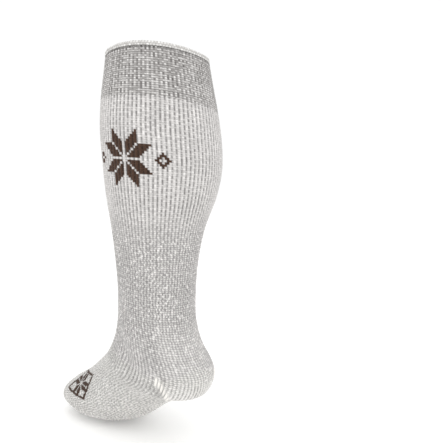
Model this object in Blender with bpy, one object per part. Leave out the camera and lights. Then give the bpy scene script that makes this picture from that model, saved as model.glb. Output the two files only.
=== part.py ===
"""A tall ribbed boot sock for a left foot, hollow, in the form that it has when it is worn.

The heel is raised and the ball of the foot is down. +Z is up, the toe points to -Y and the outer
side of the leg is at +X. The origin is the centre of the leg opening, on the leg's axis.
"""

import math

import bmesh
import bpy
import numpy as np

# Heights of the worn sock, in metres
SHAFT_HEIGHT = 0.252
ANKLE_HEIGHT = 0.140
# Breadths over the ribs, front to back and side to side
CALF_DEPTH = 0.120
CALF_WIDTH = 0.117
ANKLE_DEPTH = 0.085
ANKLE_WIDTH = 0.077
FOOT_LENGTH = 0.232
FOOT_WIDTH = 0.098
TOE_LENGTH = 0.024
# Knit walls
CUFF_WALL = 0.0030
LEG_WALL = 0.0026
FOOT_WALL = 0.0032
# Bands at the top
EDGE_HEIGHT = 0.0050
EDGE_THICKNESS = 0.0042
CUFF_HEIGHT = 0.0520
# Wave of the opening's rim: it stands up this much over the outer back and dips this much beside it
RIM_WAVE = 0.0022
# Ribs
RIB_COUNT = 84
CUFF_RIB_DEPTH = 0.0007
CALF_RIB_DEPTH = 0.0010
HEEL_RIB_DEPTH = 0.0007
# Gap between neighbouring pieces, which the real yarn bridges
GAP = 0.0003

# Where one piece ends and the next begins, as shares of the way down the sock
RIB_END = 0.340
GORE_CORNER = 0.607
HEEL_TOP = 0.581
HEEL_SOLE = 0.706
TOE_START = 0.885
TOE_SLANT = 0.035
TOE_CLOSING = 0.930
# Where the rim's wave has died away, and the angle of its crest
RIM_WAVE_END = 0.100
RIM_WAVE_ANGLE = 130
# Angle round the sock, 0 at the front and 180 at the back, where the heel gore starts
GORE_ANGLE = 126
# Toe end: how steeply it points down, how far it turns in to the big toe as a share of the foot's
# width, and how much of its breadth the seam across it keeps
TOE_SLOPE = 15
TOE_TURN = 0.06
TOE_SEAM = 0.50

# Sections down the sock. "Down" is the share of the way from the opening to the toe. Front and back
# are the two points of the section on the middle plane, as a share of the zone's depth forward of
# the axis and a share of its height up. Width is a share of the zone's width, lean broadens the
# front and narrows the back, side moves the section outward and tilt raises its outer side.
SECTION_COLUMNS = (
    "zone", "down", "front", "front_up", "back", "back_up", "width", "lean", "side", "tilt",
)
SECTIONS = (
    ("calf", 0.000, 0.417, 0.996, -0.417, 1.000, 0.863, 0.00, 0.00, 0.012),
    ("calf", 0.050, 0.425, 0.897, -0.454, 0.903, 0.923, 0.00, 0.00, 0.022),
    ("calf", 0.100, 0.438, 0.798, -0.496, 0.808, 0.983, 0.00, 0.00, 0.032),
    ("calf", 0.155, 0.446, 0.692, -0.529, 0.688, 1.026, -0.02, 0.00, 0.024),
    ("calf", 0.210, 0.446, 0.583, -0.550, 0.567, 1.000, -0.035, 0.00, 0.016),
    ("calf", 0.270, 0.446, 0.468, -0.504, 0.448, 0.923, -0.035, 0.00, 0.008),
    ("ankle", 0.335, 0.629, 0.337, -0.576, 0.321, 1.182, -0.02, 0.00, 0.000),
    ("ankle", 0.405, 0.600, 0.206, -0.488, 0.179, 1.039, 0.00, 0.00, 0.000),
    ("ankle", 0.465, 0.553, 0.087, -0.441, 0.048, 1.000, 0.00, 0.00, 0.000),
    ("ankle", 0.515, 0.565, 0.000, -0.459, -0.060, 1.000, 0.00, 0.00, 0.000),
    ("foot", 0.560, 0.235, 0.871, -0.222, 0.729, 0.806, -0.02, 0.00, 0.000),
    ("foot", 0.600, 0.265, 0.771, -0.297, 0.586, 0.878, -0.035, 0.00, 0.000),
    ("foot", 0.635, 0.308, 0.679, -0.269, 0.461, 0.888, -0.05, 0.00, 0.000),
    ("foot", 0.685, 0.362, 0.596, -0.144, 0.396, 0.827, -0.07, 0.00, 0.000),
    ("foot", 0.735, 0.420, 0.521, -0.002, 0.279, 0.816, -0.07, 0.00, 0.000),
    ("foot", 0.790, 0.481, 0.446, 0.140, 0.136, 0.867, -0.05, 0.00, 0.000),
    ("foot", 0.845, 0.550, 0.375, 0.278, 0.036, 0.959, -0.05, -0.01, 0.000),
    ("foot", 0.890, 0.614, 0.321, 0.399, 0.000, 1.000, 0.00, -0.02, 0.000),
    ("foot", 0.930, 0.666, 0.271, 0.515, 0.004, 0.940, 0.00, -0.035, 0.000),
)

# Soft creases that the bent ankle draws into the knit. Length, width and depth are shares of the
# foot's width, and slope is the angle of the crease to the courses.
CREASE_COLUMNS = ("down", "angle", "length", "width", "depth", "slope")
CREASES = (
    (0.575, 84, 0.42, 0.075, 0.016, 34),
    (0.602, 98, 0.38, 0.070, 0.017, 40),
    (0.632, 108, 0.30, 0.070, 0.013, 44),
    (0.585, -88, 0.40, 0.080, 0.015, -36),
    (0.470, 186, 0.34, 0.100, 0.010, 4),
)

# Ribs fade from this share of the ribbed leg to its end, where this much of them is left
FADE_START = 0.8
FADE_LEFT = 0.2

# How finely the knit is faceted: columns round the plain pieces, heel columns for each of those,
# outer columns for each inner one, and the edge's columns round and sides
ROUND_STEPS = 60
HEEL_COLUMNS_A_STEP = 3
INNER_EVERY = 4
EDGE_COLUMNS = 56
EDGE_SIDES = 8
TOE_ROW_CROWD = 1.2
SHARP_ANGLE = 50
# Step for slopes of the form, and slack for comparing single-precision numbers
FINE_STEP = 1e-6
SLACK = 1e-4
# Points this close are one point: seams of the blank, and the inner and outer toe seam
SEWING_REACH = 5e-5


def zone_sizes(zone):
    """Depth, width, height and starting height of the rows of one zone."""
    if zone == "calf":
        return CALF_DEPTH, CALF_WIDTH, SHAFT_HEIGHT, ANKLE_HEIGHT
    if zone == "ankle":
        return ANKLE_DEPTH, ANKLE_WIDTH, SHAFT_HEIGHT, ANKLE_HEIGHT
    return FOOT_LENGTH, FOOT_WIDTH, ANKLE_HEIGHT, 0.0


def sections_in_metres():
    """The share down of each section, and its measures in metres."""
    opening = ANKLE_HEIGHT + SHAFT_HEIGHT
    measures = []
    for values in SECTIONS:
        row = dict(zip(SECTION_COLUMNS, values))
        depth, width, height, base = zone_sizes(row["zone"])
        measures.append((
            row["front"] * depth,
            base + row["front_up"] * height - opening,
            row["back"] * depth,
            base + row["back_up"] * height - opening,
            row["width"] * width / 2,
            row["lean"],
            row["side"] * width,
            row["tilt"] * height,
        ))
    return np.array([values[1] for values in SECTIONS]), np.array(measures)


SECTION_DOWN, SECTION_MEASURES = sections_in_metres()
SECTION_SLOPES = np.gradient(SECTION_MEASURES, SECTION_DOWN, axis=0)


def section_at(down):
    """Measures of the section at each share down, on a smooth curve through the table's rows."""
    down = np.clip(down, 0, TOE_CLOSING)
    row = np.clip(np.searchsorted(SECTION_DOWN, down, side="right") - 1, 0, len(SECTION_DOWN) - 2)
    span = SECTION_DOWN[row + 1] - SECTION_DOWN[row]
    t = ((down - SECTION_DOWN[row]) / span)[:, None]
    span = span[:, None]
    start = (2 * t**3 - 3 * t**2 + 1) * SECTION_MEASURES[row]
    start_slope = (t**3 - 2 * t**2 + t) * span * SECTION_SLOPES[row]
    end = (3 * t**2 - 2 * t**3) * SECTION_MEASURES[row + 1]
    end_slope = (t**3 - t**2) * span * SECTION_SLOPES[row + 1]
    return start + start_slope + end + end_slope


def form_point(down, angle):
    """Points of the sock's smooth outer form. The last stretch rounds off onto the toe seam."""
    front, front_up, back, back_up, half, lean, side, tilt = section_at(down).T
    closing = np.clip((down - TOE_CLOSING) / (1 - TOE_CLOSING), 0, 1) * math.pi / 2
    keep, gone = np.cos(closing), np.sin(closing)
    slope = math.radians(TOE_SLOPE)
    fore = (front + back) / 2 + TOE_LENGTH * math.cos(slope) * gone
    up = (front_up + back_up) / 2 - TOE_LENGTH * math.sin(slope) * gone
    reach, reach_up = (front - back) / 2, (front_up - back_up) / 2
    half = half * (TOE_SEAM + (1 - TOE_SEAM) * keep)
    side = side - TOE_TURN * FOOT_WIDTH * gone
    cosine, sine = np.cos(angle), np.sin(angle)
    x = side + half * sine * (1 + lean * cosine)
    y = -(fore + reach * keep * cosine)
    wave = RIM_WAVE * np.cos(2 * (angle - math.radians(RIM_WAVE_ANGLE)))
    z = up + reach_up * keep * cosine + tilt * sine + wave * (1 - ease(down / RIM_WAVE_END))
    return np.stack([x, y, z], axis=1)


def form_normal(down, angle):
    """Outward normals of the smooth form."""
    down = np.clip(down, FINE_STEP, 1 - 2 * FINE_STEP)
    along = form_point(down + FINE_STEP, angle) - form_point(down - FINE_STEP, angle)
    around = form_point(down, angle + FINE_STEP) - form_point(down, angle - FINE_STEP)
    normal = np.cross(along, around)
    return normal / np.linalg.norm(normal, axis=1)[:, None]


def length_a_share(down, angle):
    """Metres along the form for one whole share down, at each point."""
    down = np.clip(down, FINE_STEP, 1 - 2 * FINE_STEP)
    along = form_point(down + FINE_STEP, angle) - form_point(down - FINE_STEP, angle)
    return np.linalg.norm(along, axis=1) / (2 * FINE_STEP)


def share_below_opening(drop):
    """The share down at which the middle of the sock is this far below the opening."""
    shares = np.linspace(0, RIB_END, 200)
    middle = section_at(shares)
    return float(np.interp(drop, -(middle[:, 1] + middle[:, 3]) / 2, shares))


def ease(t):
    t = np.clip(t, 0, 1)
    return t * t * (3 - 2 * t)


def on_steps(curve, angle):
    """The curve's value at whole steps of the angle, with straight lines between them."""
    step = 2 * math.pi / ROUND_STEPS
    low = np.floor(angle / step + SLACK)
    part = angle / step - low
    return curve(low * step) * (1 - part) + curve((low + 1) * step) * part


def gore_share(angle):
    """0 outside the heel's gore angle, rising to 1 at the middle of the back."""
    from_back = np.abs((angle % (2 * math.pi)) - math.pi)
    return ease(1 - from_back / math.radians(180 - GORE_ANGLE))


def heel_top(angle):
    return on_steps(lambda a: GORE_CORNER - (GORE_CORNER - HEEL_TOP) * gore_share(a), angle)


def heel_sole(angle):
    return on_steps(lambda a: GORE_CORNER + (HEEL_SOLE - GORE_CORNER) * gore_share(a), angle)


def toe_line(angle):
    """Where the toe pocket starts: nearer the tip under the foot than on top."""
    return on_steps(lambda a: TOE_START + TOE_SLANT * (1 - np.cos(a)) / 2, angle)


def edge_line(angle):
    """Where the cuff starts: one edge height under the rim all the way round."""
    return EDGE_HEIGHT / length_a_share(np.zeros_like(angle), angle)


def level(share):
    return lambda angle: np.full_like(angle, share)


def crease_depth(down, angle):
    """How deep the creases press the knit in at each point, in metres."""
    total = np.zeros_like(down)
    for values in CREASES:
        crease = dict(zip(CREASE_COLUMNS, values))
        centre = math.radians(crease["angle"])
        turn = (angle - centre + math.pi) % (2 * math.pi) - math.pi
        around = turn * FOOT_WIDTH / 2
        along = (down - crease["down"]) * length_a_share(down, angle)
        slope = math.radians(crease["slope"])
        lengthwise = around * math.cos(slope) + along * math.sin(slope)
        across = along * math.cos(slope) - around * math.sin(slope)
        lengthwise = lengthwise / (crease["length"] * FOOT_WIDTH / 2)
        across = across / (crease["width"] * FOOT_WIDTH)
        total += crease["depth"] * FOOT_WIDTH * np.exp(-lengthwise**2 - across**2)
    return total


def rib_valley(turn, ribs, depth):
    """Depth below the rib crests: full in the valleys, none on the crests."""
    return depth * (0.5 - 0.5 * np.cos(2 * math.pi * turn * ribs))


def fabric_blank(columns, rows, closed_round, closed_end):
    """A flat blank of knit, one cell thick: x runs round the sock, y down it and z into it."""
    blank = bmesh.new()
    bmesh.ops.create_grid(blank, x_segments=columns, y_segments=rows, size=0.5)
    bmesh.ops.translate(blank, verts=blank.verts, vec=(0.5, 0.5, 0))
    faces = bmesh.ops.extrude_face_region(blank, geom=blank.faces[:], use_keep_orig=True)
    inner = [item for item in faces["geom"] if isinstance(item, bmesh.types.BMVert)]
    bmesh.ops.translate(blank, verts=inner, vec=(0, 0, 1))
    sides = []
    for face in blank.faces:
        middle = face.calc_center_median()
        at_seam = min(middle.x, 1 - middle.x) < SLACK
        if (closed_round and at_seam) or (closed_end and middle.y > 1 - SLACK):
            sides.append(face)
    bmesh.ops.delete(blank, geom=sides, context="FACES_ONLY")
    return blank


def finished(blank, name, points, material):
    """The blank pressed onto its points, sewn up and made a named object."""
    for vertex, point in zip(blank.verts, points):
        vertex.co = point
    bmesh.ops.remove_doubles(blank, verts=blank.verts, dist=SEWING_REACH)
    bmesh.ops.recalc_face_normals(blank, faces=blank.faces)
    mesh = bpy.data.meshes.new(name)
    blank.to_mesh(mesh)
    blank.free()
    mesh.shade_smooth()
    mesh.set_sharp_from_angle(angle=math.radians(SHARP_ANGLE))
    mesh.materials.append(material)
    piece = bpy.data.objects.new(name, mesh)
    bpy.context.scene.collection.objects.link(piece)
    return piece


def knit_wall(
    name, columns, rows, top, bottom, wall, material,
    relief=None, turns=(0, 1), inner_every=1, crowd=1, toe=False,
):
    """A wall of knit on the form, between two lines down the sock and two turns round it.

    The inner face keeps one column of points in every inner_every, as it has no ribs.
    A crowd over 1 draws the rows together towards the lower line.
    """
    closed_round = turns == (0, 1)
    blank = fabric_blank(columns, rows, closed_round, toe)
    flat = np.array([vertex.co for vertex in blank.verts])
    inside = flat[:, 2] > 0.5
    column = np.round(flat[:, 0] * columns)
    column = np.where(inside & (column < columns), column - column % inner_every, column)
    turn = turns[0] + (turns[1] - turns[0]) * column / columns
    angle = turn * 2 * math.pi
    start, end = top(angle), bottom(angle)
    start = start + GAP / 2 / length_a_share(start, angle) * (start > 0)
    end = end - GAP / 2 / length_a_share(end, angle) * (end < 1)
    down = start + (end - start) * (1 - (1 - flat[:, 1]) ** crowd)
    normal = form_normal(down, angle)
    sunk = crease_depth(down, angle)
    carved = relief(turn, down) if relief else 0
    depth = sunk + np.where(inside, wall, carved)
    return finished(blank, name, form_point(down, angle) - normal * depth[:, None], material)


def knit_material(name, colour, roughness):
    material = bpy.data.materials.new(name)
    material.use_nodes = True
    shader = material.node_tree.nodes["Principled BSDF"]
    shader.inputs["Base Color"].default_value = (*colour, 1)
    shader.inputs["Roughness"].default_value = roughness
    shader.inputs["Metallic"].default_value = 0
    return material


def make_top_edge(material):
    """The rolled selvedge: an oval ring round the opening, a little proud of the cuff."""
    ring = bmesh.new()
    bmesh.ops.create_grid(ring, x_segments=EDGE_COLUMNS, y_segments=EDGE_SIDES, size=0.5)
    flat = np.array([vertex.co for vertex in ring.verts]) + 0.5
    angle = flat[:, 0] * 2 * math.pi
    roll = flat[:, 1] * 2 * math.pi
    at_rim = np.zeros_like(angle)
    normal = form_normal(at_rim, angle)
    inward = CUFF_WALL / 2 - np.cos(roll) * EDGE_THICKNESS / 2
    points = form_point(at_rim, angle) - normal * inward[:, None]
    points[:, 2] += (np.sin(roll) - 1) * (EDGE_HEIGHT - GAP) / 2
    return finished(ring, "top_edge", points, material)


def make_cuff(material):
    cuff_end = share_below_opening(CUFF_HEIGHT)
    return knit_wall(
        "cuff", 2 * RIB_COUNT, 2, edge_line, level(cuff_end), CUFF_WALL, material,
        relief=lambda turn, down: rib_valley(turn, RIB_COUNT, CUFF_RIB_DEPTH),
        inner_every=INNER_EVERY,
    )


def make_calf(material):
    """The ribbed leg. Its ribs fade out above the plain ankle."""
    cuff_end = share_below_opening(CUFF_HEIGHT)

    def ribs(turn, down):
        faded = ease((down / RIB_END - FADE_START) / (1 - FADE_START))
        return rib_valley(turn, RIB_COUNT, CALF_RIB_DEPTH) * (1 - (1 - FADE_LEFT) * faded)

    return knit_wall(
        "calf", 2 * RIB_COUNT, 8, level(cuff_end), level(RIB_END), LEG_WALL, material,
        relief=ribs, inner_every=INNER_EVERY,
    )


def make_ankle(material):
    """The plain ankle, cut out behind for the top of the heel."""
    return knit_wall("ankle", ROUND_STEPS, 8, level(RIB_END), heel_top, LEG_WALL, material)


def make_heel(material):
    """The heel pocket: a cup between its top line and the gore that turns under the sole."""
    steps = math.floor((180 - GORE_ANGLE) / 360 * ROUND_STEPS + SLACK) - 1
    turns = (0.5 - steps / ROUND_STEPS, 0.5 + steps / ROUND_STEPS)
    columns = 2 * steps * HEEL_COLUMNS_A_STEP
    ribs_a_turn = columns / 2 / (turns[1] - turns[0])
    return knit_wall(
        "heel", columns, 4, heel_top, heel_sole, FOOT_WALL, material,
        relief=lambda turn, down: rib_valley(turn - turns[0], ribs_a_turn, HEEL_RIB_DEPTH),
        turns=turns, inner_every=HEEL_COLUMNS_A_STEP,
    )


def make_foot(material):
    return knit_wall("foot", ROUND_STEPS, 7, heel_sole, toe_line, FOOT_WALL, material)


def make_toe(material):
    """The toe pocket, closed along a seam across the toes."""
    return knit_wall(
        "toe", ROUND_STEPS, 6, toe_line, level(1.0), FOOT_WALL, material,
        inner_every=2, crowd=TOE_ROW_CROWD, toe=True,
    )


def main():
    for item in list(bpy.data.objects):
        bpy.data.objects.remove(item, do_unlink=True)
    make_top_edge(knit_material("white_edge_knit", (0.78, 0.77, 0.74), 0.9))
    make_cuff(knit_material("marled_grey_knit", (0.33, 0.32, 0.31), 0.95))
    leg_knit = knit_material("pale_ribbed_knit", (0.58, 0.56, 0.54), 0.92)
    make_calf(leg_knit)
    make_ankle(leg_knit)
    foot_knit = knit_material("pale_terry_knit", (0.60, 0.58, 0.56), 0.95)
    make_heel(foot_knit)
    make_foot(foot_knit)
    make_toe(foot_knit)


main()
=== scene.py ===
# %% [markdown]
# # A knitted boot sock
#
# A tall sock for a left foot, standing in the form it has when worn: a rolled white edge, a marled
# grey cuff, a ribbed leg, a plain ankle, a ribbed heel pocket, and a foot that ends in a toe pocket.
# The CAD frame gives its size and place. Each region of knit is then laid over it again as a finer
# fabric, with its ribs and stitches modelled, because a knit is seen by the shadows between its loops.

import math

import bmesh
import bpy
import numpy as np
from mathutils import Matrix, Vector


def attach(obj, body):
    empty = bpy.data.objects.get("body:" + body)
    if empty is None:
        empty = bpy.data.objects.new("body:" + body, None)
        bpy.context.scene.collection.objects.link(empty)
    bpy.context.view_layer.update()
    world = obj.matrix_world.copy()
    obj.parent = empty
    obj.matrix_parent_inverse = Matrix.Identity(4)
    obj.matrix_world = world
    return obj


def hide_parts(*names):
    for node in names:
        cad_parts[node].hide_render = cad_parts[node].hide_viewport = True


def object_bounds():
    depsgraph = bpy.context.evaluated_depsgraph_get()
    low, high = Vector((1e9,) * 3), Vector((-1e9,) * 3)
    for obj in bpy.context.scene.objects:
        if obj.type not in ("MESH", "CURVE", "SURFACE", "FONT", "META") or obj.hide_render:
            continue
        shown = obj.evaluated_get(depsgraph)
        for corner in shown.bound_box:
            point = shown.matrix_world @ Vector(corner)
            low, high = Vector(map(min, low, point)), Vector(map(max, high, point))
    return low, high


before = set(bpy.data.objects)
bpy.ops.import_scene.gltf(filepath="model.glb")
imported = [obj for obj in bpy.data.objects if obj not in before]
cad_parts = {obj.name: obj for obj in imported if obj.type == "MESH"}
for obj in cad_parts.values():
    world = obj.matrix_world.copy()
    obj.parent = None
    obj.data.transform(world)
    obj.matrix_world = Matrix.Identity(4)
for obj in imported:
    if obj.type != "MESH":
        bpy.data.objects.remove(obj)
CAD_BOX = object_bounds()
print("CAD box, mm:", [[round(v * 1000, 1) for v in corner] for corner in CAD_BOX])

# %% [markdown]
# ## The form under the knit
#
# A sock has no edges to measure: it is one tube that changes its section and direction all the way
# down. So its form is a short table of sections, as a last maker draws one. Each row names a share of
# the way down and gives the front and back points and the width, as shares of a few real sizes.

# %% Sizes and sections
# sizes in metres
SHAFT_HEIGHT = 0.252
ANKLE_HEIGHT = 0.140
CALF_DEPTH = 0.120
CALF_WIDTH = 0.117
ANKLE_DEPTH = 0.085
ANKLE_WIDTH = 0.077
FOOT_LENGTH = 0.232
FOOT_WIDTH = 0.098
TOE_LENGTH = 0.024
CUFF_WALL = 0.0030
LEG_WALL = 0.0026
FOOT_WALL = 0.0032
EDGE_HEIGHT = 0.0050
EDGE_THICKNESS = 0.0042
CUFF_HEIGHT = 0.0520
RIM_WAVE = 0.0022
# places as shares of the way down
RIM_WAVE_END = 0.100
RIB_END = 0.340
HEEL_TOP = 0.581
GORE_CORNER = 0.607
HEEL_SOLE = 0.706
TOE_START = 0.885
TOE_SLANT = 0.035
TOE_CLOSING = 0.930
# the turn of the toes as a share of the foot's width, and their seam as one of the last section's
TOE_TURN = 0.06
TOE_SEAM = 0.50
# angles in degrees
RIM_WAVE_ANGLE = 130
GORE_ANGLE = 126
TOE_SLOPE = 15

ZONES = {
    "calf": (CALF_DEPTH, CALF_WIDTH, SHAFT_HEIGHT, ANKLE_HEIGHT),
    "ankle": (ANKLE_DEPTH, ANKLE_WIDTH, SHAFT_HEIGHT, ANKLE_HEIGHT),
    "foot": (FOOT_LENGTH, FOOT_WIDTH, ANKLE_HEIGHT, 0.0),
}
# zone, share down, front, front up, back, back up, width, lean, side, tilt
SECTIONS = (
    ("calf", 0.000, 0.417, 0.996, -0.417, 1.000, 0.863, 0.00, 0.00, 0.012),
    ("calf", 0.050, 0.425, 0.897, -0.454, 0.903, 0.923, 0.00, 0.00, 0.022),
    ("calf", 0.100, 0.438, 0.798, -0.496, 0.808, 0.983, 0.00, 0.00, 0.032),
    ("calf", 0.155, 0.446, 0.692, -0.529, 0.688, 1.026, -0.02, 0.00, 0.024),
    ("calf", 0.210, 0.446, 0.583, -0.550, 0.567, 1.000, -0.035, 0.00, 0.016),
    ("calf", 0.270, 0.446, 0.468, -0.504, 0.448, 0.923, -0.035, 0.00, 0.008),
    ("ankle", 0.335, 0.629, 0.337, -0.576, 0.321, 1.182, -0.02, 0.00, 0.000),
    ("ankle", 0.405, 0.600, 0.206, -0.488, 0.179, 1.039, 0.00, 0.00, 0.000),
    ("ankle", 0.465, 0.553, 0.087, -0.441, 0.048, 1.000, 0.00, 0.00, 0.000),
    ("ankle", 0.515, 0.565, 0.000, -0.459, -0.060, 1.000, 0.00, 0.00, 0.000),
    ("foot", 0.560, 0.235, 0.871, -0.222, 0.729, 0.806, -0.02, 0.00, 0.000),
    ("foot", 0.600, 0.265, 0.771, -0.297, 0.586, 0.878, -0.035, 0.00, 0.000),
    ("foot", 0.635, 0.308, 0.679, -0.269, 0.461, 0.888, -0.05, 0.00, 0.000),
    ("foot", 0.685, 0.362, 0.596, -0.144, 0.396, 0.827, -0.07, 0.00, 0.000),
    ("foot", 0.735, 0.420, 0.521, -0.002, 0.279, 0.816, -0.07, 0.00, 0.000),
    ("foot", 0.790, 0.481, 0.446, 0.140, 0.136, 0.867, -0.05, 0.00, 0.000),
    ("foot", 0.845, 0.550, 0.375, 0.278, 0.036, 0.959, -0.05, -0.01, 0.000),
    ("foot", 0.890, 0.614, 0.321, 0.399, 0.000, 1.000, 0.00, -0.02, 0.000),
    ("foot", 0.930, 0.666, 0.271, 0.515, 0.004, 0.940, 0.00, -0.035, 0.000),
)


def section_measures():
    """Each row of the table in metres, with heights counted from the opening."""
    opening = ANKLE_HEIGHT + SHAFT_HEIGHT
    rows = []
    for zone, _, front, front_up, back, back_up, width, lean, side, tilt in SECTIONS:
        depth, breadth, height, base = ZONES[zone]
        front_z = base + front_up * height - opening
        back_z = base + back_up * height - opening
        ends = (front * depth, front_z, back * depth, back_z)
        rows.append((*ends, width * breadth / 2, lean, side * breadth, tilt * height))
    return np.array(rows)


DOWN = np.array([row[1] for row in SECTIONS])
MEASURES = section_measures()
SLOPES = np.gradient(MEASURES, DOWN, axis=0)
print("sections:", len(DOWN))

# %% [markdown]
# Between two rows the sizes follow a smooth curve that passes through both (a Hermite curve). A point
# of the sock is then found from two numbers: how far down it lies, and at what angle round the tube,
# with 0 at the front and 90 degrees on the outer side. Wales run along lines of one angle, from the
# cuff round the ankle to the toes, just as they do in the real knit.


# %% The form's surface
def ease(t):
    """0 up to 0 and 1 from 1, with a soft start and end between."""
    t = np.clip(t, 0, 1)
    return t * t * (3 - 2 * t)


def section_at(down):
    """The measures of the section at each share down."""
    down = np.clip(down, 0, TOE_CLOSING)
    row = np.clip(np.searchsorted(DOWN, down, side="right") - 1, 0, len(DOWN) - 2)
    span = (DOWN[row + 1] - DOWN[row])[:, None]
    t = (down[:, None] - DOWN[row][:, None]) / span
    start = (2 * t**3 - 3 * t**2 + 1) * MEASURES[row] + (t**3 - 2 * t**2 + t) * span * SLOPES[row]
    end = (3 * t**2 - 2 * t**3) * MEASURES[row + 1] + (t**3 - t**2) * span * SLOPES[row + 1]
    return start + end


def form_point(down, angle):
    """Points of the smooth outer form. The last stretch rounds off onto the toe seam."""
    front, front_up, back, back_up, half, lean, side, tilt = section_at(down).T
    closing = np.clip((down - TOE_CLOSING) / (1 - TOE_CLOSING), 0, 1) * math.pi / 2
    keep, gone = np.cos(closing), np.sin(closing)
    slope = math.radians(TOE_SLOPE)
    fore = (front + back) / 2 + TOE_LENGTH * math.cos(slope) * gone
    up = (front_up + back_up) / 2 - TOE_LENGTH * math.sin(slope) * gone
    half = half * (TOE_SEAM + (1 - TOE_SEAM) * keep)
    side = side - TOE_TURN * FOOT_WIDTH * gone
    cosine, sine = np.cos(angle), np.sin(angle)
    x = side + half * sine * (1 + lean * cosine)
    y = -(fore + (front - back) / 2 * keep * cosine)
    wave = RIM_WAVE * np.cos(2 * (angle - math.radians(RIM_WAVE_ANGLE)))
    wave = wave * (1 - ease(down / RIM_WAVE_END))
    z = up + (front_up - back_up) / 2 * keep * cosine + tilt * sine + wave
    return np.stack([x, y, z], axis=1)


# a share down, and an angle in radians, that is small enough to measure a slope with
FINE_STEP = 1e-6


def form_directions(down, angle):
    """Outward normals, and metres along the form for one whole share down."""
    down = np.clip(down, FINE_STEP, 1 - 2 * FINE_STEP)
    along = form_point(down + FINE_STEP, angle) - form_point(down - FINE_STEP, angle)
    around = form_point(down, angle + FINE_STEP) - form_point(down, angle - FINE_STEP)
    normal = np.cross(along, around)
    normal /= np.linalg.norm(normal, axis=1)[:, None]
    return normal, np.linalg.norm(along, axis=1) / (2 * FINE_STEP)


opening_ends = form_point(np.zeros(2), np.array([0, math.pi]))
print("opening, front to back, mm:", round(float(np.ptp(opening_ends[:, 1])) * 1000, 1))

# %% [markdown]
# ## Where one knit ends and the next begins
#
# The cuff and the ribs end level. The heel is a pocket: its rows get shorter towards the gore, the
# diagonal line below the ankle bone where they are picked up again for the foot.


# %% Lines between the regions
def gore_share(angle):
    """0 outside the heel's gore angle, rising to 1 at the middle of the back."""
    from_back = np.abs((angle % (2 * math.pi)) - math.pi)
    return ease(1 - from_back / math.radians(180 - GORE_ANGLE))


def heel_top(angle):
    """Share down at which the heel pocket starts."""
    return GORE_CORNER - (GORE_CORNER - HEEL_TOP) * gore_share(angle)


def heel_sole(angle):
    """Share down of the gore, where the heel pocket ends and the foot starts."""
    return GORE_CORNER + (HEEL_SOLE - GORE_CORNER) * gore_share(angle)


def toe_line(angle):
    """Share down at which the toe pocket starts, further down under the sole."""
    return TOE_START + TOE_SLANT * (1 - np.cos(angle)) / 2


def edge_line(angle):
    """The cuff starts one edge height under the rim all the way round."""
    return EDGE_HEIGHT / form_directions(np.zeros_like(angle), angle)[1]


def level(share):
    """A line at one share down all the way round."""
    return lambda angle: np.full_like(angle, share)


SEARCH_STEPS = 200


def share_below_opening(drop):
    """Share down at a height that is given in metres below the opening."""
    shares = np.linspace(0, RIB_END, SEARCH_STEPS)
    middle = section_at(shares)
    return float(np.interp(drop, -(middle[:, 1] + middle[:, 3]) / 2, shares))


CUFF_END = share_below_opening(CUFF_HEIGHT)
print("the cuff ends at", round(CUFF_END, 4))

# %% [markdown]
# ## Wales and courses
#
# Knit is counted in wales, the columns of stitches, and courses, the rows. This sock has 84 ribs round
# the leg and a course about every 2 mm. Every pattern below is written in those two numbers, so the
# stitches stay whole where the tube narrows or bends.

# %% Counting stitches
WALES = 84
COURSE = 0.0021
# courses are counted down the outer side, and on the heel down the middle of the back
SIDE_ANGLE = math.radians(115)
BACK_ANGLE = math.pi
COUNTING_STEPS = 1000


def count_courses(angle):
    """Courses from the opening to each of a fine list of shares, along one wale."""
    shares = np.linspace(0, 1, COUNTING_STEPS + 1)
    lengths = form_directions(shares, np.full_like(shares, angle))[1]
    summed = np.concatenate([[0], np.cumsum((lengths[1:] + lengths[:-1]) / 2)])
    return shares, summed / COUNTING_STEPS / COURSE


SIDE_COURSES = count_courses(SIDE_ANGLE)
HEEL_COURSES = count_courses(BACK_ANGLE)
print("courses to the toe seam:", round(SIDE_COURSES[1][-1]))


def course_at(down, counted=SIDE_COURSES):
    """Courses from the opening down to each share."""
    return np.interp(down, *counted)


# %% [markdown]
# No two stitches are alike: the yarn is spun from light and dark fibres and the loops sit a little
# high or low. A fixed table of random numbers, one for each half stitch, gives every loop its own
# height and tone, and the same ones at every run. Plain random numbers clump together and look like
# stains, so the tables are ranked by how much each number differs from its neighbours.

# %% Random numbers for each half stitch
RANDOM_SEED = 84
rng = np.random.default_rng(RANDOM_SEED)
# half wales by courses, with more courses than the sock has
TABLE_SIZE = (2 * WALES, 400)


def scattered():
    """Random numbers without clusters: each is ranked by how far it is from its four neighbours."""
    start = rng.random(TABLE_SIZE)
    around = sum(np.roll(start, shift, axis) for axis in (0, 1) for shift in (-1, 1)) / 4
    ranks = np.argsort(np.argsort((start - around).ravel()))
    return ranks.reshape(TABLE_SIZE) / ranks.size


LOOP_TONE = scattered()
LOOP_LIFT = scattered()


def drawn_out(courses):
    """Random numbers that stay alike for some courses along a wale, as yarn of one tone does."""
    start = rng.random(TABLE_SIZE)
    summed = sum(np.roll(start, k, axis=1) for k in range(courses)) / courses
    return np.clip((summed - 0.5) * math.sqrt(courses) + 0.5, 0, 1)


SHORT_STREAK = drawn_out(4)
LONG_STREAK = drawn_out(13)


def pick(table, column, row):
    """Each point's number in a table that repeats round and down the sock."""
    return table[column.astype(int) % table.shape[0], row.astype(int) % table.shape[1]]


def swell(turn, down):
    """A slow, seamless unevenness from -1 to 1, some centimetres wide."""
    a = np.sin(2 * math.pi * (3 * turn + 4.3 * down) + 1.3)
    b = np.sin(2 * math.pi * (5 * turn - 7.1 * down) + 4.1)
    c = np.sin(2 * math.pi * (2 * turn + 12.7 * down) + 2.2)
    return (a + b + c) / 3


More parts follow.
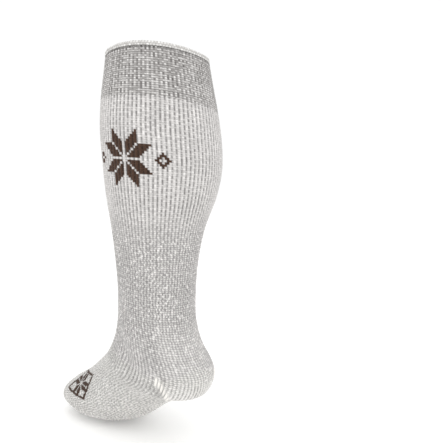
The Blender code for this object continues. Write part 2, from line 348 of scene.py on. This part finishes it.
print("loops with a height and tone of their own:", LOOP_TONE.size)

# %% [markdown]
# ## Two kinds of knit
#
# A rib is a wide raised column of plain stitches with a narrow hollow beside it, where the purl
# stitches hide. Plain knit, or jersey, is a field of small Vs, each made of two slanting legs. Each
# function gives three numbers from 0 to 1 for a point: its height over the deepest hollow, how much
# shade is painted on it for lying in the dimness between loops, and the tone of its stitch, from light
# to dark. Neps are the odd loops where a knot of white fibre comes up.

# %% Rib and jersey
# courses that a leg of a stitch climbs for each wale across
LEG_SLANT = 0.5
# lifts above which a loop is a nep, and above which a purl loop shows between two ribs
NEP_ABOVE = 0.92
PURL_ABOVE = 0.45
# how dim it gets between two ribs, and between two courses on a rib's crest
RIB_DIMNESS = 0.92
COURSE_DIMNESS = 0.38


def rib(wale, course, crest_power=0.5):
    """Height, painted shade and tone of a ribbed knit. Its crests lie on whole wales."""
    crest = (0.5 + 0.5 * np.cos(2 * math.pi * wale)) ** crest_power
    half = np.floor(2 * wale + 0.5)
    lift = pick(LOOP_LIFT, half, np.floor(course))
    bead = np.sin(math.pi * (course % 1)) ** 2
    height = crest * (0.9 + 0.1 * bead) + 0.5 * (1 - crest) * bead * lift
    hollow = (1 - crest) * (1 - 0.75 * bead * (lift > PURL_ABOVE))
    hollow = hollow + COURSE_DIMNESS * crest * (1 - bead) * lift
    tone = 0.3 * pick(LOOP_TONE, half, np.floor(course)) + 0.15 * pick(SHORT_STREAK, half, course)
    return height, RIB_DIMNESS * hollow, tone + 0.07


def jersey(wale, course):
    """Height, painted shade and tone of a plain knit, two slanting legs to a stitch."""
    across = (wale + 0.5) % 1 - 0.5
    phase = course + LEG_SLANT * np.abs(across)
    half = np.floor(2 * wale)
    lift = pick(LOOP_LIFT, half, np.floor(phase))
    column = np.cos(math.pi * across) ** 0.8
    leg = np.sin(math.pi * (phase % 1)) ** 0.9 * (0.25 + 0.75 * column)
    nep = lift > NEP_ABOVE
    hollow = (1 - leg) ** 0.95 * (1 - 0.2 * lift - 0.4 * nep)
    tone = 0.75 * pick(LOOP_TONE, half, np.floor(phase)) ** 1.4 * (1 - nep)
    return leg * (0.5 + 0.5 * lift), hollow, tone


def blend_knits(first, second, share, relief, other_relief):
    """Goes from one knit to another by a share from 0 to 1. Heights become metres below the crests."""
    height = (first[0] - 1) * relief * (1 - share) + (second[0] - 1) * other_relief * share
    hollow = first[1] * (1 - share) + second[1] * share
    tone = first[2] * (1 - share) + second[2] * share
    return height, hollow, tone


across_a_rib = rib(np.array([0.0, 0.5]), np.array([0.5, 0.5]))[0]
print("height of a rib at its crest and beside it:", np.round(across_a_rib, 2))

# %% [markdown]
# ## The knitted-in motif
#
# A second, dark brown yarn is knitted in on the outer side. The motif is a common one of northern
# knitting, the eight-pointed star, and it is charted by rule: eight leaves, each a slanted block of
# stitches, mirrored about both axes and both diagonals.


# %% Charting the star
# places of the motifs, as an angle in degrees and a share down
LEG_MOTIF_ANGLE, LEG_MOTIF_DOWN = 112, 0.2065
TOE_MOTIF_ANGLE, TOE_MOTIF_DOWN = 62, 0.822
# sizes in half ribs and courses
LEG_STAR = 6
TOE_STAR = 5
SIDE_LOZENGE = 3
SIDE_LOZENGE_PLACE = 17
TOE_LOZENGE = (15, 18)
TOE_LOZENGE_INSIDE = 0.84


def star(column, row, size):
    """1 on the dark stitches of a star that is 4 * size + 1 stitches wide."""
    near = np.minimum(np.abs(column), np.abs(row))
    far = np.maximum(np.abs(column), np.abs(row))
    return (near >= 1) & (near <= size) & (far >= near + 1) & (far <= near + size)


def lozenge(column, row, size):
    """1 on the stitches of a lozenge that reaches this far from its middle."""
    return np.abs(column) + np.abs(row) <= size


def leg_motif(wale, course):
    """The star with a lozenge on either side, in half ribs and courses from its middle."""
    column = np.floor(2 * wale - LEG_MOTIF_COLUMN + 0.5)
    row = np.floor(course - LEG_MOTIF_ROW + 0.5)
    dark = star(column, row, LEG_STAR)
    for side in (-SIDE_LOZENGE_PLACE, SIDE_LOZENGE_PLACE):
        outer = lozenge(column - side, row, SIDE_LOZENGE)
        dark = dark | (outer & ~lozenge(column - side, row, SIDE_LOZENGE - 2))
    return dark


def toe_motif(wale, course):
    """A smaller star in a lozenge that is longer than it is wide."""
    column = np.floor(2 * wale - TOE_MOTIF_COLUMN + 0.5)
    row = np.floor(course - TOE_MOTIF_ROW + 0.5)
    reach = np.abs(column) / TOE_LOZENGE[0] + np.abs(row) / TOE_LOZENGE[1]
    return star(column, row, TOE_STAR) | ((reach > TOE_LOZENGE_INSIDE) & (reach <= 1))


LEG_MOTIF_COLUMN = 2 * WALES * LEG_MOTIF_ANGLE / 360
LEG_MOTIF_ROW = float(course_at(LEG_MOTIF_DOWN))
TOE_MOTIF_COLUMN = 2 * WALES * TOE_MOTIF_ANGLE / 360
TOE_MOTIF_ROW = float(course_at(TOE_MOTIF_DOWN))
counted = np.arange(-2 * LEG_STAR, 2 * LEG_STAR + 1)
chart = star(*np.meshgrid(counted, counted), LEG_STAR)
print("dark stitches in the star:", int(chart.sum()))

# %% [markdown]
# ## Creases
#
# The bent ankle draws the knit into soft folds that run from the front of the ankle to the gore.
# Each is a shallow trough with a round bottom: a bell curve across it and another along it.

# %% Creases of the bent ankle
# share down, angle; length, width and depth as shares of the foot's width; slope to the courses
CREASES = (
    (0.575, 84, 0.42, 0.075, 0.016, 34),
    (0.602, 98, 0.38, 0.070, 0.017, 40),
    (0.632, 108, 0.30, 0.070, 0.013, 44),
    (0.585, -88, 0.40, 0.080, 0.015, -36),
    (0.470, 186, 0.34, 0.100, 0.010, 4),
)


def crease_depth(down, angle, length_a_share):
    """How far the creases draw the surface in, in metres."""
    total = np.zeros_like(down)
    for middle, turned, length, width, depth, slope in CREASES:
        turn = (angle - math.radians(turned) + math.pi) % (2 * math.pi) - math.pi
        around = turn * FOOT_WIDTH / 2
        along = (down - middle) * length_a_share
        slope = math.radians(slope)
        lengthwise = (around * math.cos(slope) + along * math.sin(slope)) / (length * FOOT_WIDTH / 2)
        across = (along * math.cos(slope) - around * math.sin(slope)) / (width * FOOT_WIDTH)
        total += depth * FOOT_WIDTH * np.exp(-lengthwise**2 - across**2)
    return total


print("deepest crease, mm:", round(max(crease[4] for crease in CREASES) * FOOT_WIDTH * 1000, 1))

# %% [markdown]
# ## Laying a fabric over the form
#
# A flat grid is the natural blank for knit: one side runs round the sock and the other down it. The
# grid is extruded once for the inner face of the wall, the seam's side faces are taken out, and every
# point is then pressed onto the form. Inner points are gathered in blocks, since the inside needs
# fewer faces, and the points that meet are merged, which sews the tube up.

# %% The blank and the finished piece
# how near to an edge of the blank, which is 1 wide, counts as on it
SLACK = 1e-4
# metres within which two points are sewn into one
SEWING_REACH = 4e-5
# the inside of the sock gets one even painted shade, halfway between loop and hollow
INSIDE_PAINTED_SHADE = 0.5
# shares down over which the relief dies out at the toe seam
SEAM_FADE = 0.012


def fabric_blank(columns, rows, closed_round, closed_end):
    """A flat wall of faces, open at its seams, with sharp edges along the rims that stay."""
    blank = bmesh.new()
    bmesh.ops.create_grid(blank, x_segments=columns, y_segments=rows, size=0.5)
    bmesh.ops.translate(blank, verts=blank.verts, vec=(0.5, 0.5, 0))
    grown = bmesh.ops.extrude_face_region(blank, geom=blank.faces[:], use_keep_orig=True)["geom"]
    inner = [item for item in grown if isinstance(item, bmesh.types.BMVert)]
    bmesh.ops.translate(blank, verts=inner, vec=(0, 0, 1))
    sewn = []
    for face in blank.faces:
        middle = face.calc_center_median()
        if SLACK < middle.z < 1 - SLACK:
            at_seam = closed_round and min(middle.x, 1 - middle.x) < SLACK
            if at_seam or (closed_end and middle.y > 1 - SLACK):
                sewn.append(face)
            else:
                for edge in face.edges:
                    edge.smooth = False
    bmesh.ops.delete(blank, geom=sewn, context="FACES_ONLY")
    return blank


def finished(blank, name, points, looks, material):
    """Presses the blank onto its points, stores the looks on them and sews it up."""
    mesh = bpy.data.meshes.new(name)
    blank.to_mesh(mesh)
    mesh.vertices.foreach_set("co", points.astype(np.float32).ravel())
    for look, values in looks.items():
        layer = mesh.attributes.new(look, "FLOAT", "POINT")
        layer.data.foreach_set("value", values.astype(np.float32))
    blank.clear()
    blank.from_mesh(mesh)
    bmesh.ops.remove_doubles(blank, verts=blank.verts, dist=SEWING_REACH)
    bmesh.ops.recalc_face_normals(blank, faces=blank.faces)
    for face in blank.faces:
        face.smooth = True
    blank.to_mesh(mesh)
    blank.free()
    mesh.materials.append(material)
    piece = bpy.data.objects.new(name, mesh)
    bpy.context.scene.collection.objects.link(piece)
    mesh.calc_loop_triangles()
    print(name, "triangles:", len(mesh.loop_triangles))
    return piece


def gathered(index, count, block):
    """Inner points of one block share the block's first place. The last line keeps its own."""
    return np.where(index < count, index - index % block, index)


def knit(
    name, columns, rows, top, bottom, wall, surface, material,
    turns=(0, 1), inner_block=(6, 10), closed_end=False,
):
    """A wall of knit between two lines down the sock, with the relief and looks of its surface."""
    blank = fabric_blank(columns, rows, turns == (0, 1), closed_end)
    flat = np.array([vertex.co for vertex in blank.verts])
    inside = flat[:, 2] > 0.5
    column = np.round(flat[:, 0] * columns)
    row = np.round(flat[:, 1] * rows)
    column = np.where(inside, gathered(column, columns, inner_block[0]), column)
    row = np.where(inside, gathered(row, rows, inner_block[1]), row)
    turn = turns[0] + (turns[1] - turns[0]) * column / columns
    angle = turn * 2 * math.pi
    start, end = top(angle), bottom(angle)
    down = start + (end - start) * row / rows
    normal, length_a_share = form_directions(down, angle)
    looks = surface(turn, down)
    height = looks.pop("height")
    if closed_end:
        height = height * ease((1 - down) / SEAM_FADE)
    rise = np.where(inside, -wall, height) - crease_depth(down, angle, length_a_share)
    looks["hollow"] = np.where(inside, INSIDE_PAINTED_SHADE, looks["hollow"])
    for look in ("motif", "seam"):
        looks[look] = np.where(inside, 0.0, looks.get(look, np.zeros_like(down)))
    return finished(blank, name, form_point(down, angle) + normal * rise[:, None], looks, material)


# %% [markdown]
# ## Colours and nodes
#
# Colours are written as they are seen on screen and turned to the linear values that light is reckoned
# in. A material is a tree of small nodes, and one helper adds any of them with its settings and links.


# %% Helpers for materials
def linear(code):
    """A hex colour, as seen on screen, in the linear values that light is reckoned in."""
    parts = [int(code[i : i + 2], 16) / 255 for i in (0, 2, 4)]
    return tuple(p / 12.92 if p <= 0.04045 else ((p + 0.055) / 1.055) ** 2.4 for p in parts) + (1,)


def add_node(tree, kind, output, inputs=None, **settings):
    """Adds a node, sets it, fills its inputs with values or other nodes' outputs, gives one output."""
    node = tree.nodes.new(kind)
    for key, value in settings.items():
        setattr(node, key, value)
    for key, value in (inputs or {}).items():
        if isinstance(value, bpy.types.NodeSocket):
            tree.links.new(value, node.inputs[key])
        else:
            node.inputs[key].default_value = value
    return node.outputs[output]


print("white in linear values:", linear("ffffff"))

# %% [markdown]
# ## Yarns
#
# The sock is a wool blend: matt, slightly fuzzy, and spun from fibres of two tones, so that each
# stitch differs a little from the next. The shader mixes a light and a darker yarn by the stitch's own
# tone, darkens the hollows with painted shade, where less light gets in among the loops, and adds
# sheen for the fuzz. It reads what was stored on the points of the fabric, so the colours and the
# painted shade follow the stitches exactly.

# %% Wool-blend knit
# tufts of loose fibre, and the slow unevenness of a long length of yarn, in metres
FUZZ_SIZE = 0.0011
PATCH_SIZE = 0.022
FUZZ_RELIEF = 0.0004
# how much of the painted shade colour shows where the painted shade is deepest
PAINTED_SHADE_STRENGTH = 0.9
MOTIF_DARK = "3a2820"
MOTIF_LIGHT = "5c4434"
# colour of the painted shade in the hollows of the brown motif
MOTIF_PAINTED_SHADE = "241a15"
SEAM_WHITE = "f2efea"
# a colour Mix node's inputs for the share and the two colours, and its output
MIX_SHARE, MIX_UNDER, MIX_OVER, MIX_RESULT = 0, 6, 7, 2


def wool_knit(name, light, shade, painted_shade_colour, fuzzed):
    """Wool-blend yarn, ring-spun and machine-knitted: matt, fuzzy and flecked to the eye."""
    material = bpy.data.materials.new(name)
    material.use_nodes = True
    tree = material.node_tree
    shader = tree.nodes["Principled BSDF"]
    place = add_node(tree, "ShaderNodeTexCoord", "Object")
    fuzz = add_node(
        tree, "ShaderNodeTexNoise", "Fac",
        {"Vector": place, "Scale": 1 / FUZZ_SIZE, "Detail": 2.0, "Roughness": 0.6},
    )
    patch = add_node(
        tree, "ShaderNodeTexNoise", "Fac", {"Vector": place, "Scale": 1 / PATCH_SIZE, "Detail": 1.0}
    )
    fuzz_share = add_node(
        tree, "ShaderNodeMapRange", "Result",
        {"Value": fuzz, "From Min": 0.40, "From Max": 0.75, "To Max": fuzzed},
    )
    patch_share = add_node(
        tree, "ShaderNodeMapRange", "Result",
        {"Value": patch, "From Min": 0.35, "From Max": 0.75, "To Max": 0.15},
    )
    brown_share = add_node(
        tree, "ShaderNodeMapRange", "Result", {"Value": fuzz, "From Min": 0.3, "From Max": 0.8}
    )
    tone, motif, seam, hollow = (
        add_node(tree, "ShaderNodeAttribute", "Fac", attribute_name=look)
        for look in ("tone", "motif", "seam", "hollow")
    )
    # how much painted shade each point gets, from the share stored on it
    dimmed = add_node(
        tree, "ShaderNodeMath", "Value", {0: hollow, 1: PAINTED_SHADE_STRENGTH}, operation="MULTIPLY"
    )
    brown = add_node(
        tree, "ShaderNodeMix", MIX_RESULT,
        {MIX_SHARE: brown_share, MIX_UNDER: linear(MOTIF_DARK), MIX_OVER: linear(MOTIF_LIGHT)},
        data_type="RGBA",
    )
    # colour of the painted shade, browner inside the motif
    dim = add_node(
        tree, "ShaderNodeMix", MIX_RESULT,
        {MIX_SHARE: motif, MIX_UNDER: linear(painted_shade_colour), MIX_OVER: linear(MOTIF_PAINTED_SHADE)},
        data_type="RGBA",
    )
    yarn = linear(light)
    # from the yarn's own tone outward: fuzz, slow unevenness, brown yarn, gore yarn, painted shade
    layers = (
        (tone, linear(shade)), (fuzz_share, linear(shade)), (patch_share, linear(shade)),
        (motif, brown), (seam, linear(SEAM_WHITE)), (dimmed, dim),
    )
    for share, over in layers:
        yarn = add_node(
            tree, "ShaderNodeMix", MIX_RESULT,
            {MIX_SHARE: share, MIX_UNDER: yarn, MIX_OVER: over}, data_type="RGBA",
        )
    tree.links.new(yarn, shader.inputs["Base Color"])
    shader.inputs["Roughness"].default_value = 0.92
    shader.inputs["Specular IOR Level"].default_value = 0.25
    shader.inputs["Sheen Weight"].default_value = 0.12
    shader.inputs["Sheen Roughness"].default_value = 0.5
    bump = {"Strength": 0.35, "Distance": FUZZ_RELIEF, "Height": fuzz}
    tree.links.new(add_node(tree, "ShaderNodeBump", "Normal", bump), shader.inputs["Normal"])
    return material


# each yarn: light strand, darker strand, colour of its painted shade, share of fuzz
# a selvedge of undyed white yarn, rolled tight, so it is the brightest line of the sock
EDGE_KNIT = wool_knit("white_selvedge_yarn", "faf9f7", "d2d0cd", "8a8784", 0.2)
# wool plied from a grey and a white strand, which gives a salt-and-pepper marl
CUFF_KNIT = wool_knit("marled_grey_wool", "fbf9f7", "888583", "4c4948", 0.25)
# undyed wool with grey fibres spun in: off-white loops flecked grey, painted grey shade between
LEG_KNIT = wool_knit("pale_ribbed_wool", "fcf9f7", "8b8988", "4c4a4a", 0.35)
# the same wool over a terry back, a shade warmer and lighter because the loops behind fill it out
FOOT_KNIT = wool_knit("pale_terry_wool", "fcfaf7", "918f8c", "4c4a49", 0.35)
print("yarns:", [m.name for m in (EDGE_KNIT, CUFF_KNIT, LEG_KNIT, FOOT_KNIT)])

# %% [markdown]
# ## The edge
#
# The selvedge rolls over at the top. It is a ring of oval section, made from the same kind of grid:
# one side of it runs round the opening and the other round the roll. Six rows of white loops lie
# round the roll, staggered as bricks are.

# %% Rolled edge
EDGE_LOOPS = 110
EDGE_ROWS = 6
EDGE_COLUMNS = 1000
EDGE_SIDES = 24


def rolled_edge():
    """A ring of oval section round the opening, covered with staggered loops."""
    ring = bmesh.new()
    bmesh.ops.create_grid(ring, x_segments=EDGE_COLUMNS, y_segments=EDGE_SIDES, size=0.5)
    flat = np.array([vertex.co for vertex in ring.verts]) + 0.5
    turn = np.round(flat[:, 0] * EDGE_COLUMNS) / EDGE_COLUMNS
    angle = turn * 2 * math.pi
    roll = flat[:, 1] * 2 * math.pi
    at_rim = np.zeros_like(angle)
    normal = form_directions(at_rim, angle)[0]
    ring_row = EDGE_ROWS * flat[:, 1]
    loop = turn * EDGE_LOOPS + 0.5 * (np.floor(ring_row) % 2)
    lift = pick(LOOP_LIFT, np.floor(loop), np.floor(ring_row))
    bead = np.abs(np.sin(math.pi * loop)) ** 0.7 * np.abs(np.sin(math.pi * ring_row)) ** 0.5
    bead = bead * (0.5 + 0.5 * lift)
    swelling = 0.9 + 0.35 * bead
    # painted shade on the underside of the roll; the gaps between its loops get painted shade too
    under = ease((-np.sin(roll) - 0.5) / 0.4)
    inward = CUFF_WALL / 2 - np.cos(roll) * swelling * EDGE_THICKNESS / 2
    points = form_point(at_rim, angle) - normal * inward[:, None]
    points[:, 2] += (np.sin(roll) * swelling - 1) * EDGE_HEIGHT / 2
    looks = {
        "hollow": np.maximum(0.75 * (1 - bead) ** 1.3, under),
        "tone": pick(LOOP_TONE, np.floor(loop), np.floor(ring_row)),
        "motif": at_rim,
        "seam": at_rim,
    }
    return finished(ring, "rolled_edge", points, looks, EDGE_KNIT)


edge = rolled_edge()
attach(edge, "root")
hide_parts("top_edge")

# %% [markdown]
# ## The cuff
#
# The cuff is a rib knitted with a marled yarn, grey and white plied together. Where the white ply
# lies on top for a while, a wale shows as a chain of bright loops.

# %% Marled cuff
CUFF_RELIEF = 0.0009
MARL_RELIEF = 0.0003
CUFF_CREST_POWER = 0.6
# shares down over which the rolled edge keeps the light off the cuff
EDGE_SHADOW = 0.004


def cuff_surface(turn, down):
    """A rib with chains of bright loops where the white ply lies on top."""
    wale, course = turn * WALES, course_at(down)
    height, hollow, _ = rib(wale, course, CUFF_CREST_POWER)
    half = np.floor(2 * wale + 0.5)
    bead = np.sin(math.pi * (course % 1)) ** 0.7
    dot = bead * (0.3 + 0.7 * np.abs(np.sin(math.pi * (2 * wale + 0.5))) ** 0.6)
    top = edge_line(turn * 2 * math.pi)
    lower = ease((down - top) / (CUFF_END - top))
    streak = pick(LONG_STREAK, np.floor(wale + 0.5), course)
    white = 0.75 * pick(LOOP_TONE, half, np.floor(course)) + 0.4 * streak + 0.12 * lower - 0.06
    nep = pick(LOOP_LIFT, half, np.floor(course)) > NEP_ABOVE
    white = np.maximum(np.clip(white, 0, 1), nep) * dot
    # painted shade between the courses, and a painted shadow cast by the rolled edge along the cuff's
    # top
    hollow = np.maximum(hollow, 0.6 * (1 - bead)) + 0.8 * ease(1 - (down - top) / EDGE_SHADOW)
    return {
        "height": (height - 1) * CUFF_RELIEF + MARL_RELIEF * (bead - 1) * (0.4 + white),
        "hollow": np.clip(hollow, 0, 1) * (1 - 0.4 * white),
        "tone": 1 - white,
    }


cuff = knit(
    "marled_cuff", 6 * WALES, 72, edge_line, level(CUFF_END), CUFF_WALL, cuff_surface,
    CUFF_KNIT, inner_block=(3, 6),
)
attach(cuff, "root")
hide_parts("cuff")

# %% [markdown]
# ## One knit for leg, heel and foot
#
# Below the cuff the sock is knitted in one piece, and its kinds of knit run into each other: ribs on
# the leg fade out above the ankle, come back where the bend draws the wales together in front of the
# gore, and stand up bright on the heel. So one function describes the whole surface, and each piece
# takes its own stretch of it. Where the heel's short rows are picked up along the gore, the yarn
# doubles into a line of white stitches.

# %% Relief and looks of the surface
RIB_RELIEF = 0.0013
JERSEY_RELIEF = 0.0009
SEAM_RELIEF = 0.0011
# metres to either side that the gore's white stitches reach, and how many there are to a wale
GORE_REACH = 0.0044
GORE_LOOPS = 1.2
GORE_TABLE_ROW = 11
# the middle of the bend's drawn-in wales: an angle in radians and a share down
DRAWN_ANGLE = math.radians(104)
DRAWN_DOWN = 0.605
# where a change of the knit starts, and how far it takes, as shares down
RIBS_FADE = (0.285, 0.09)
BACK_LIGHTENS = (0.49, 0.06)
FOOT_LIGHTENS = (0.62, 0.06)
FOOT_PEBBLES = (0.64, 0.06)
# shares down over which grey loops of the cuff's yarn still show under the cuff
MARL_FADE = 0.007


def bell(x):
    """1 at 0, falling off smoothly to 0 on both sides."""
    return np.exp(-(x**2))


def past(down, change):
    """0 before a change of the knit and 1 after it."""
    start, reach = change
    return ease((down - start) / reach)


def gore_stitches(turn, down):
    """Where the gore runs, from 0 to 1, and how much of a stitch there is at each point of it."""
    angle = turn * 2 * math.pi
    line = heel_sole(angle)
    share = gore_share(angle)
    near = bell((down - line) * form_directions(line, angle)[1] / GORE_REACH)
    along = near * ease(share / 0.02) * (1 - ease((share - 0.6) / 0.4))
    loop = turn * WALES * GORE_LOOPS
    lift = pick(LOOP_LIFT, np.floor(loop), np.full_like(loop, GORE_TABLE_ROW))
    stitch = np.abs(np.sin(math.pi * loop)) ** 0.8 * (0.6 + 0.4 * lift)
    return along, np.clip(1.9 * along * stitch, 0, 1)


def heel_shares(down, angle):
    """From 0 to 1: how far a point is behind the gore's corner, in the pocket, and on its ribs."""
    behind = ease(gore_share(angle) / 0.3)
    pocket = behind * (down <= heel_sole(angle))
    return behind, pocket, pocket * ease((down - heel_top(angle) + 0.004) / 0.05)


def body_surface(turn, down):
    """Relief and looks of the one knit that runs from the cuff to the toe seam."""
    wale = turn * WALES + 0.05 * swell(turn * 2, down * 4)
    angle = turn * 2 * math.pi
    behind, pocket, on_heel = heel_shares(down, angle)
    off = (angle - DRAWN_ANGLE + math.pi) % (2 * math.pi) - math.pi
    drawn = 0.7 * bell(off / 0.42) * bell((down - DRAWN_DOWN) / 0.045)
    ribbed = np.maximum(np.maximum(1 - past(down, RIBS_FADE), drawn), on_heel)
    in_pocket = (pocket > 0) & (down > heel_top(angle))
    course = np.where(in_pocket, course_at(down, HEEL_COURSES), course_at(down))
    height, hollow, tone = blend_knits(
        jersey(wale, course), rib(wale, course), ribbed, JERSEY_RELIEF, RIB_RELIEF
    )
    own = pick(LOOP_TONE, np.floor(2 * wale), np.floor(course))
    marl = (own > 0.45) * ease(1 - (down - CUFF_END) / MARL_FADE)
    light = np.maximum(0.6 * past(down, FOOT_LIGHTENS), 0.4 * behind * past(down, BACK_LIGHTENS))
    light = light + 0.15 * on_heel
    pebble = 0.5 * past(down, FOOT_PEBBLES) * (own - 0.5)
    dimness = np.clip(hollow * (1 - 0.25 * light) + pebble, 0, 1)
    along, seam = gore_stitches(turn, down)
    return {
        "height": height + seam * SEAM_RELIEF,
        "hollow": np.maximum(dimness, 0.8 * along) * (1 - seam),
        "tone": np.maximum(tone * (1 - light), 0.75 * marl),
        "motif": leg_motif(turn * WALES, course) | toe_motif(turn * WALES, course),
        "seam": seam,
    }


print("relief of ribs and jersey, mm:", RIB_RELIEF * 1000, JERSEY_RELIEF * 1000)

# %% [markdown]
# Each piece is the same surface over its own stretch of the form. The foot is laid in two pieces, as
# its stitches are many.


# %% Leg, ankle, heel, foot and toe
MIDDLE_START = 0.745
MIDDLE_SLANT = 0.02


def middle_line(angle):
    """Share down at which the foot's two pieces meet."""
    return MIDDLE_START + MIDDLE_SLANT * (1 - np.cos(angle)) / 2


ROUND = 6 * WALES
HEEL_COLUMNS = 204
GORE_TURNS = (GORE_ANGLE / 360, 1 - GORE_ANGLE / 360)
# name, columns, rows, top, bottom, wall, yarn, CAD node, and what differs from the usual piece
STRETCHES = (
    ("ribbed_leg", ROUND, 184, level(CUFF_END), level(RIB_END), LEG_WALL, LEG_KNIT, "calf",
     {"inner_block": (3, 8)}),
    ("plain_ankle", ROUND, 170, level(RIB_END), heel_top, LEG_WALL, LEG_KNIT, "ankle", {}),
    ("heel_pocket", HEEL_COLUMNS, 130, heel_top, heel_sole, FOOT_WALL, FOOT_KNIT, "heel",
     {"turns": GORE_TURNS}),
    ("foot_instep", ROUND, 130, heel_sole, middle_line, FOOT_WALL, FOOT_KNIT, "foot", {}),
    ("foot_ball", ROUND, 130, middle_line, toe_line, FOOT_WALL, FOOT_KNIT, "foot", {}),
    ("toe_pocket", ROUND, 90, toe_line, level(1.0), FOOT_WALL, FOOT_KNIT, "toe",
     {"inner_block": (6, 9), "closed_end": True}),
)
for name, columns, rows, top, bottom, wall, yarn, node, options in STRETCHES:
    piece = knit(name, columns, rows, top, bottom, wall, body_surface, yarn, **options)
    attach(piece, "root")
    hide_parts(node)

# %% [markdown]
# ## Studio
#
# A white floor and a white surround light the sock from all sides, as in a product picture. The paper
# glows a little, because a lit backdrop is brighter than paper under the same light as the sock.

# %% Floor and surround
scene = bpy.context.scene
scene.view_settings.view_transform = "Standard"
FLOOR_SIZE = 4.0

floor_mesh = bpy.data.meshes.new("studio_floor")
shape = bmesh.new()
bmesh.ops.create_grid(shape, x_segments=8, y_segments=8, size=FLOOR_SIZE)
bmesh.ops.translate(shape, verts=shape.verts, vec=(0, 0, CAD_BOX[0].z))
shape.to_mesh(floor_mesh)
shape.free()
floor = bpy.data.objects.new("studio_floor", floor_mesh)
scene.collection.objects.link(floor)
# seamless backdrop paper: matt and nearly white
paper = bpy.data.materials.new("white_backdrop_paper")
paper.use_nodes = True
paper_shader = paper.node_tree.nodes["Principled BSDF"]
paper_shader.inputs["Base Color"].default_value = linear("fbfbfa")
paper_shader.inputs["Roughness"].default_value = 0.95
paper_shader.inputs["Emission Color"].default_value = linear("ffffff")
paper_shader.inputs["Emission Strength"].default_value = 0.15
floor_mesh.materials.append(paper)

world = bpy.data.worlds.new("white_studio")
scene.world = world
world.use_nodes = True
world.node_tree.nodes["Background"].inputs["Color"].default_value = linear("ffffff")
world.node_tree.nodes["Background"].inputs["Strength"].default_value = 1.02
print("floor height, mm:", round(CAD_BOX[0].z * 1000, 1))

# %% [markdown]
# The camera stands behind the outer side, a little above the ankle, and looks slightly down. A large
# soft lamp over its shoulder gives the ribs their shadows.

# %% Camera and lamp
CAMERA_PLACE = Vector((0.3541, 0.5531, -0.1141))
LOOK = Vector((-0.6170, -0.7869, 0)).normalized()
PITCH = math.radians(4.4)
FOCAL_PIXELS = 655.7
PICTURE_PIXELS = 443
SENSOR_WIDTH = 36
LAMP_PLACE = Vector((0.55, 0.95, 0.9))
LAMP_TARGET = Vector((0, 0, -0.2))
LAMP_SIZE = 0.9
LAMP_POWER = 5

camera_data = bpy.data.cameras.new("camera")
camera_data.sensor_width = SENSOR_WIDTH
camera_data.lens = FOCAL_PIXELS / PICTURE_PIXELS * SENSOR_WIDTH
camera = bpy.data.objects.new("camera", camera_data)
camera.location = CAMERA_PLACE
aim = Vector((LOOK.x * math.cos(PITCH), LOOK.y * math.cos(PITCH), -math.sin(PITCH)))
camera.rotation_euler = aim.to_track_quat("-Z", "Y").to_euler()
scene.collection.objects.link(camera)
scene.camera = camera

lamp_data = bpy.data.lights.new("key_lamp", "AREA")
lamp_data.size = LAMP_SIZE
lamp_data.energy = LAMP_POWER
lamp = bpy.data.objects.new("key_lamp", lamp_data)
lamp.location = LAMP_PLACE
lamp.rotation_euler = (LAMP_TARGET - LAMP_PLACE).to_track_quat("-Z", "Y").to_euler()
scene.collection.objects.link(lamp)
print("camera lens, mm:", round(camera_data.lens, 1))
